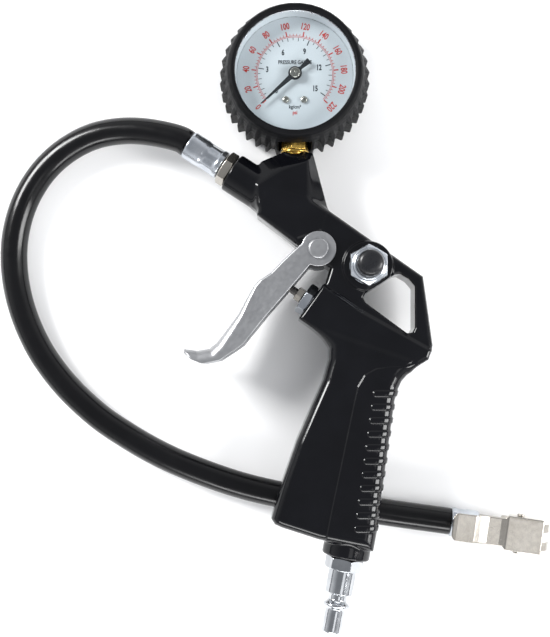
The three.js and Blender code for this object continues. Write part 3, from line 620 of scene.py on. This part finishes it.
def pointer_field(x, y, z):
    blade = [
        (-9.6, -1.2), (-9.2, -1.5), (-4, -0.8), (-2.5, -1.3), (2.5, -1.3), (22.8, -0.22), (23, 0),
        (22.8, 0.22), (2.5, 1.3), (-2.5, 1.3), (-4, 0.8), (-9.2, 1.5), (-9.6, 1.2),
    ]
    flat = join(polygon(blade, x, y), np.hypot(x, y) - 3.4, 0.4)
    return rounded(flat, np.abs(z - 9.35) - 0.35, 0.12)


def screw_field(x, y, z):
    around = np.hypot(x, y)
    head = [(0, 7.1), (1.75, 7.1), (1.75, 7.6), (1.5, 8.05), (0.9, 8.3), (0, 8.35)]
    made = join(turned(head, around, z), rounded(around - 1, np.maximum(0.4 - z, z - 7.2), 0.1), 0.1)
    c, s = math.cos(0.7), math.sin(0.7)
    slot = np.maximum(np.abs(x * c + y * s) - 0.2, 7.75 - z)
    return less(made, slot, 0.08)


def socket_field(x, y, z):
    around = np.hypot(x, y)
    thread = 0.22 * np.abs(np.mod(z / 1.1 + np.arctan2(y, x) / (2 * math.pi), 1) - 0.5)
    neck = rounded(around - 4.9, np.maximum(27 - z, z - 34), 0.2)
    tail = rounded(around - 4.85 + thread, np.maximum(36 - z, z - 49), 0.2)
    made = join(join(neck, tail, 0.2), nut(x, y, z, 12.1, 32.9, 37.4, 44, 0.3), 0.3)
    foot = np.maximum(np.maximum(np.abs(y) - 6.6, np.abs(x - 2.9) - 4.1), np.maximum(20 - z, z - 29))
    return less(join(made, foot, 0.3), np.maximum(around - 1.5, 23 - z), 0.2)


def gauge():
    fine = 0.32
    carve("boot", boot_field, (-39, -39, -16), (39, 39, 18.4), fine, GAUGE, "gun", ["gauge_boot"],
          BOOT)
    seat = [(30.5, 12.4), (31.9, 12.4), (31.9, 15.1), (29.6, 15.1), (29.6, 14.2), (30.5, 14.2)]
    spun("bezel", rim(seat, 0.25), GAUGE, "gun", ["gauge_bezel"], CASE, closed=True)
    spun("window", rim([(0, 12.4), (30.2, 12.4), (30.2, 13.9), (0, 13.9)], 0.2), GAUGE, "gun",
         ["gauge_lens"], LENS)
    plate = [(1, 6), (29, 6), (29, 6.8), (1, 6.8)]
    spun("dial", rim(plate, 0.1), GAUGE, "gun", ["dial_plate"], PAINT, closed=True)
    wall = [(29.1, 6.9), (30.4, 12.2), (30.8, 12.2), (30.8, 6.9)]
    spun("dial_ring", wall, GAUGE, "gun", [], PAINT, closed=True)
    dial_print()
    for side, name in ((-1, "dial_screw_left"), (1, "dial_screw_right")):
        place = GAUGE @ Matrix.Translation((side * DIAL_SCREW[0], DIAL_SCREW[1], 0))
        carve(name + "_head", screw_field, (-2, -2, 0), (2, 2, 8.8), 0.09, place, "gun", [name],
              NICKEL)
    hand = GAUGE @ Matrix.Rotation(radians(ZERO_ANGLE), 4, "Z")
    carve("hand", pointer_field, (-10.2, -4, 8.6), (23.6, 4, 10.1), 0.12, hand, "pointer_arbor",
          ["pointer"], POINTER)
    hub = [
        (0, 10.6), (1.1, 10.6), (1.1, 10), (2.6, 10), (2.6, 10.9), (2.2, 11.3), (0.5, 11.3), (0.35, 11.1),
        (0, 11.1),
    ]
    spun("hub", rim(hub, 0.12), GAUGE, "pointer_arbor", ["pointer_hub"], NICKEL)
    carve("stem_socket", socket_field, (-8, -8, 19.4), (8, 8, 49.6), 0.2, STEM, "gun", ["gauge_socket"],
          BRASS)
    spun("stem_washer", rim([(5.1, 37.7), (7.1, 37.7), (7.1, 38.5), (5.1, 38.5)], 0.2), STEM, "gun",
         ["socket_washer"], BRASS, closed=True)


# ---------------------------------------------------------------- fittings


def gland_field(x, y, z):
    around = np.hypot(x, y)
    thread = rounded(around - 6.4, np.maximum(-1 - z, z - 10), 0.3)
    made = join(nut(x, y, z, 14.5, -5, -0.4, 14), thread, 0.2)
    return less(made, around - 2.4 + 0 * z, 0.4)


def packing_field(x, y, z):
    around = np.hypot(x, y)
    return less(nut(x, y, z, 6.6, -8.8, -5.3, 44, 0.2), around - 2.4 + 0 * z, 0.25)


def plug_field(x, y, z):
    around = np.hypot(x, y)
    profile = [
        (0, -10), (5.6, -10), (5.6, 6.2), (6.9, 6.4), (6.9, 17.7), (6.5, 18.2), (4.6, 18.5), (4.5, 19),
        (4.5, 21.2), (4.9, 21.8), (6.5, 23), (6.8, 23.7), (6.5, 24.4), (5.2, 25.6), (5, 26.2),
        (5, 36.8), (4.6, 37.5), (0, 37.6),
    ]
    made = join(turned(profile, around, z), nut(x, y, z, 16.6, 0.4, 6.5, 12, 0.35), 0.3)
    mouth = np.minimum(around - 3, around - 3.6 + np.maximum(37 - z, 0) * 0.8)
    return less(made, mouth + 0 * z, 0.25)


def outlet_field(x, y, z):
    around = np.hypot(x, y)
    body = [(0, -12), (4.9, -12), (4.9, 0.3), (6, 0.4), (6, 5), (4, 5.2), (4, 24.2), (3.4, 24.8), (0, 24.8)]
    made = join(turned(body, around, z), nut(x, y, z, 15.5, 0.4, 5.1, 46, 0.35), 0.2)
    return less(made, around - 2.2 + 0 * z, 0.3)


def ferrule_field(length):
    def field(x, y, z):
        around = np.hypot(x, y)
        profile = [
            (4.3, 0), (6.7, 0), (7.35, 0.6), (7.4, 2.4), (7.1, 3.1), (7.1, length * 0.52),
            (7.4, length * 0.58), (7.4, length - 1.1), (7.2, length - 0.3), (6.8, length), (4.3, length),
        ]
        made = polygon(profile, around, z)
        turn = np.arctan2(y, x)
        press = np.cos(8 * turn)
        band = np.clip(1 - np.abs(z - length * 0.32) / (length * 0.17), 0, 1)
        made = made + np.minimum(band * 3, 1) * (0.26 - 0.2 * press) * 0.9
        return made
    return field


def collar_field(x, y, z):
    around = np.hypot(x, y)
    chamfer = (z - 20) * 0.75 + (around - 8.1) * 0.66
    collar = keep(nut(x, y, z, 17.8, 14, 20, 0, 0.3), chamfer, 0.15)
    made = join(collar, rounded(around - 5, np.maximum(2 - z, z - 15), 0.3), 0.2)
    made = join(made, rounded(around - 7.4, np.maximum(15 - z, z - COLLAR_TOP), 0.5), 0.3)
    return less(made, around - 3.2 + 0 * z, 0.3)


def fittings():
    voxel = 0.2
    carve("valve_gland", gland_field, (-9, -9, -5.6), (9, 9, 10.6), voxel, VALVE, "gun", ["gland_nut"],
          ZINC)
    carve("valve_packing_nut", packing_field, (-4.4, -4.4, -9.4), (4.4, 4.4, -4.8), 0.14, VALVE, "gun",
          ["packing_nut"], NICKEL)
    pin = [
        (0, -22.4), (1.3, -22.4), (1.75, -22.1), (2, -21.5), (2, -13), (1.8, -12.8), (1.8, -11.8),
        (2, -11.6), (2, 23.4), (0, 23.4),
    ]
    spun("valve_rod", rim(pin, 0.1), VALVE, "valve_stem", ["valve_pin"], PIN)
    carve("air_plug", plug_field, (-10, -10, -10.6), (10, 10, 38.2), voxel, INLET, "gun", ["inlet_plug"],
          CHROME)
    carve("barrel_fitting", outlet_field, (-9.4, -9.4, -12.6), (9.4, 9.4, 25.4), voxel, OUTLET, "gun",
          ["hose_fitting"], NICKEL)
    carve("ferrule_at_gun", ferrule_field(20.3), (-8, -8, -0.6), (8, 8, 20.9), voxel,
          OUTLET @ Matrix.Translation((0, 0, 5.5)), "gun", ["hose_ferrule_gun"], ZINC)
    carve("ferrule_at_chuck", ferrule_field(13.8), (-8, -8, -0.6), (8, 8, 14.4), voxel,
          CHUCK_AXIS @ Matrix.Translation((0, 0, 0.4)), "gun", ["hose_ferrule_chuck"], ZINC)
    spun("button_washer", rim([(5.6, 12.8), (9.2, 12.8), (9.2, 13.6), (5.6, 13.6)], 0.2), BLEED_AXIS, "gun",
         ["bleed_washer"], ZINC, closed=True)
    carve("button_collar", collar_field, (-10.8, -10.8, 1.4), (10.8, 10.8, 21.1), voxel, BLEED_AXIS, "gun",
          ["bleed_collar"], ZINC)
    button = [
        (0, -1), (3.8, -1), (3.8, 0.5), (2.7, 0.5), (2.7, BUTTON_SKIRT), (6.1, BUTTON_SKIRT), (6.4, 23.3),
        (6.4, 29), (6.2, 30.3), (5.6, 31.3), (4.6, 31.9), (3.2, 32.25), (1.6, 32.38), (0, 32.4),
    ]
    spun("button", rim(button, 0.3), BLEED_AXIS, "bleed_plunger", ["bleed_button"],
         PLASTIC)
    half = [(2.5, 13.6), (4.9, 13.6), (5, 13.8), (5, 14.4), (4.5, 14.9), (4, 15)]
    rivet = [(0, -15)] + [(r, -z) for r, z in reversed(half)] + half + [(0, 15)]
    spun("lever_rivet", rim(rivet, 0.15), GUN, "gun", ["trigger_rivet"], SATIN)


def rim(profile, radius, steps=3):
    """Rounds the corners of a half outline."""
    out = []
    count = len(profile)
    for i, (x, y) in enumerate(profile):
        corner = Vector((x, y))
        before = Vector(profile[i - 1]) - corner
        after = Vector(profile[(i + 1) % count]) - corner
        if x < 1e-6 or before.length < 1e-6 or after.length < 1e-6:
            out.append((x, y))
            continue
        reach = min(radius, before.length * 0.45, after.length * 0.45)
        a = corner + before.normalized() * reach
        b = corner + after.normalized() * reach
        for j in range(steps + 1):
            t = j / steps
            out.append(tuple(a * (1 - t) ** 2 + corner * 2 * t * (1 - t) + b * t * t))
    return out


# ---------------------------------------------------------------- tyre chuck

CLIP_PIVOT = (34.2, 8.3)
CLIP_LINE = [
    (-0.4, 15.8), (2, 15.9), (11, 15.2), (14, 13.2), (18, 12), (24, 11.7), (28, 12.1), (45.4, 12.1),
    (48.6, 9.6), (50.2, 6),
]
CLIP_UNDER = [
    (49.1, 5.6), (47.6, 8.8), (45, 10.9), (28, 10.9), (24, 10.5), (17.8, 10.8), (13.5, 12.1), (10.6, 14),
    (2, 14.7), (-0.4, 14.6),
]


def clip_field(x, y, z):
    wide = np.abs(y)
    strip = polygon(CLIP_LINE + CLIP_UNDER, x, z)
    half = 7 + 1.7 * np.clip((x - 26) / 1.6, 0, 1) - 1.9 * np.clip((x - 45.6) / 0.6, 0, 1)
    half = half - 2.2 * np.clip(1 - (x + 0.4) / 2.4, 0, 1) ** 2
    strip = rounded(strip, wide - half, 0.35)
    notch = rounded(wide - 2.4, 46.2 - x, 0.4)
    strip = less(strip, notch, 0.4)
    flange = [(27.6, 12.1), (45.2, 12.1), (45, 9), (44.6, 5), (40, 2.4), (33, 2.4), (29, 4.5), (27.7, 9)]
    outer = keep(polygon(flange, x, z), rounded(z - 12.1, wide - 8.7, 1.5), 0.3)
    inner = rounded(z - 10.9, wide - 7.5, 0.5)
    made = join(strip, less(outer, inner, 0.3), 0.25)
    return less(made, np.hypot(x - CLIP_PIVOT[0], z - CLIP_PIVOT[1]) - 1.7 + 0 * y, 0.2)


def chuck_field(x, y, z):
    around = np.hypot(y, z)
    barrel = rounded(around - 5.8, np.maximum(14.6 - x, x - 28), 0.4)
    head = rounded(around - 7, np.maximum(26.5 - x, x - 43.6), 0.7)
    groove = np.hypot(around - 7.3, x - 41.2) - 0.8
    lug = np.maximum(np.maximum(31.4 - x, x - 37), np.maximum(np.abs(y) - 4, np.maximum(4 - z, z - 10)))
    made = join(join(barrel, less(head, groove, 0.2), 0.6), lug + 0.3, 0.6)
    mouth = np.maximum(around - 4.7, 30.6 - x)
    bore = np.maximum(around - 1.8, x - 40)
    made = less(less(made, mouth, 0.4), bore, 0.3)
    return less(made, np.hypot(x - CLIP_PIVOT[0], z - CLIP_PIVOT[1]) - 1.7 + 0 * y, 0.2)


def chuck():
    voxel = 0.22
    carve("clip_lever", clip_field, (-1, -9.4, 1.8), (50.8, 9.4, 16.6), voxel, CHUCK_FRAME, "clip",
          ["chuck_clip"], NICKEL)
    carve("chuck_barrel", chuck_field, (14, -7.6, -7.6), (44.2, 7.6, 10.6), voxel, CHUCK_FRAME, "gun",
          ["chuck_body"], NICKEL)
    half = [(1.3, 9.1), (2, 9.1), (2, 9.7), (1.5, 10.1)]
    pin = [(0, -10.1)] + [(r, -z) for r, z in reversed(half)] + half + [(0, 10.1)]
    across = CHUCK_FRAME @ Matrix.Translation((CLIP_PIVOT[0], 0, CLIP_PIVOT[1]))
    spun("clip_pin", rim(pin, 0.12), across @ Matrix.Rotation(radians(90), 4, "X"), "gun", ["chuck_pin"],
         NICKEL, segments=48)


gauge()
fittings()
chuck()

# ---------------------------------------------------------------- hose

hose_curve = bpy.data.curves.new("air_hose", "CURVE")
hose_curve.dimensions = "3D"
hose_curve.bevel_depth = HOSE_RADIUS * MM
hose_curve.bevel_resolution = 10
hose_curve.use_fill_caps = True


def smooth_route(points, steps):
    """Points along a centripetal Catmull-Rom curve through the route."""
    route = [Vector(p) for p in points]
    route = [route[0] * 2 - route[1], *route, route[-1] * 2 - route[-2]]
    out = []
    for a, b, c, d in zip(route, route[1:], route[2:], route[3:]):
        before, here, after = (math.sqrt((q - p).length) for p, q in ((a, b), (b, c), (c, d)))
        leave = ((b - a) / before - (c - a) / (before + here)) * here + (c - b)
        arrive = (c - b) + ((d - c) / after - (d - b) / (here + after)) * here
        for i in range(steps):
            t = i / steps
            out.append(b + leave * t + (3 * (c - b) - 2 * leave - arrive) * t ** 2
                       + (2 * (b - c) + leave + arrive) * t ** 3)
    return out + [route[-2]]


hose_points = smooth_route(HOSE_ROUTE, 10)
spline = hose_curve.splines.new("POLY")
spline.points.add(len(hose_points) - 1)
for knot, place in zip(spline.points, hose_points):
    knot.co = (*place, 1)
spline.use_smooth = True
hose_curve.materials.append(HOSE)
hose = bpy.data.objects.new("air_hose", hose_curve)
bpy.context.scene.collection.objects.link(hose)
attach(hose, "gun")
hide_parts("hose")

# ---------------------------------------------------------------- stage, light and camera

CAMERA_AT = (-0.01515, -0.00189, 0.622)
LENS_MM = 67.82


def floor():
    mesh = bpy.data.meshes.new("floor")
    mesh.from_pydata([(-4, -4, 0), (4, -4, 0), (4, 4, 0), (-4, 4, 0)], [], [(0, 1, 2, 3)])
    ground = mat("floor_paper", (0.9, 0.9, 0.9), (0.93, 0.93, 0.93), 0.9, blotch=3, bump=0.0, grain=40)
    mesh.materials.append(ground)
    plane = bpy.data.objects.new("floor", mesh)
    bpy.context.scene.collection.objects.link(plane)


def softbox(name, place, target, size, power):
    light = bpy.data.lights.new(name, "AREA")
    light.shape = "RECTANGLE"
    light.size, light.size_y = size
    light.energy = power
    lamp = bpy.data.objects.new(name, light)
    lamp.location = place
    lamp.rotation_euler = (Vector(target) - Vector(place)).to_track_quat("-Z", "Y").to_euler()
    bpy.context.scene.collection.objects.link(lamp)
    lamp.visible_camera = False


def sky():
    """A studio room: dark skirting, bright walls and a dimmer ceiling."""
    world = bpy.data.worlds.new("studio")
    bpy.context.scene.world = world
    world.use_nodes = True
    tree = world.node_tree
    place = tree.nodes.new("ShaderNodeTexCoord")
    split = tree.nodes.new("ShaderNodeSeparateXYZ")
    ramp = tree.nodes.new("ShaderNodeValToRGB")
    ramp.color_ramp.elements[0].position = 0.02
    ramp.color_ramp.elements[0].color = (0.1, 0.1, 0.11, 1)
    ramp.color_ramp.elements[1].position = 0.85
    ramp.color_ramp.elements[1].color = (0.36, 0.37, 0.39, 1)
    for height in (0.2, 0.36):
        ramp.color_ramp.elements.new(height).color = (0.9, 0.91, 0.93, 1)
    tree.links.new(place.outputs["Generated"], split.inputs["Vector"])
    tree.links.new(split.outputs["Z"], ramp.inputs["Fac"])
    tree.links.new(ramp.outputs["Color"], tree.nodes["Background"].inputs["Color"])


floor()
sky()
softbox("key_left", (-1.1, 0.7, 0.9), (0, 0, 0), (0.5, 0.5), 30)
softbox("fill_right", (1.2, -0.2, 0.8), (0, 0, 0), (0.5, 0.9), 22)
softbox("rim_low", (0.1, -1.3, 0.6), (0, 0, 0), (1.4, 0.3), 14)
softbox("over_chuck", (0.36, -0.36, 1.2), (0.1, -0.11, 0.02), (0.36, 0.36), 0.55)

camera_data = bpy.data.cameras.new("camera")
camera_data.sensor_fit = "VERTICAL"
camera_data.sensor_height = 36
camera_data.lens = LENS_MM
camera_data.clip_start = 0.01
camera = bpy.data.objects.new("camera", camera_data)
camera.location = CAMERA_AT
bpy.context.scene.collection.objects.link(camera)
bpy.context.scene.camera = camera
bpy.context.scene.view_settings.view_transform = "Standard"

# ---------------------------------------------------------------- finishes of the carried-over parts

KEPT = {
    "pin_seal": SEAL, "valve_seat": BRASS, "valve_poppet": BRASS, "valve_spring": SPRING,
    "bleed_seal": SEAL, "bleed_spring": SPRING, "gauge_case": CASE, "pinion_shaft": BRASS,
    "sector_gear": BRASS, "bourdon_link": BRASS, "bourdon_tip": BRASS, "bourdon_tube": BRASS,
    "movement_plate_front": BRASS, "movement_plate_back": BRASS, "movement_pillar_low": BRASS,
    "movement_pillar_high": BRASS, "chuck_seal": SEAL, "chuck_depressor": BRASS, "chuck_spring": SPRING,
}
for node, material in KEPT.items():
    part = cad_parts[node]
    part.data.materials.clear()
    part.data.materials.append(material)
